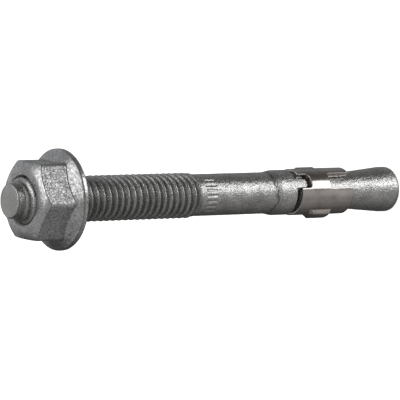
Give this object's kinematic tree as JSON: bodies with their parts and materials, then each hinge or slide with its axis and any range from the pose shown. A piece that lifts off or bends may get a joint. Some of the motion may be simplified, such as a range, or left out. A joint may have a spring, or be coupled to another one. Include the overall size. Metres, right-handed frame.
{
  "type": "wedge anchor",
  "caption": "Through-fix wedge anchor: a threaded stud with an expansion cone, a slotted sheet-metal expansion clip round its neck, and a hexagon nut with a flange.",
  "frame": {"origin": "centre of the stud's lower end, the flat face of its expansion cone", "axes": "+Z along the stud's axis, from the expansion cone to the thread and nut; the visible slot of the clip faces between +X and -Y"},
  "size_m": [0.0172, 0.0172, 0.08],
  "materials": {
    "stud_zinc": "hot-dip galvanised, matt and slightly rough",
    "clip_stainless": "smooth rolled stainless strip",
    "nut_zinc": "hot-dip galvanised, bright and slightly rough"
  },
  "bodies": {
    "stud": {"anchor_bolt": "stud_zinc"},
    "nut": {"flange_nut": "nut_zinc"},
    "clip": {"expansion_clip": "clip_stainless"}
  },
  "joints": [
    {"name": "nut_travel", "type": "slide", "parent": "stud", "child": "nut", "axis": [0, 0, 1], "range_m": [-0.0255, 0.0103]},
    {"name": "clip_play", "type": "slide", "parent": "stud", "child": "clip", "axis": [0, 0, 1], "range_m": [0, 0.00085]}
  ]
}
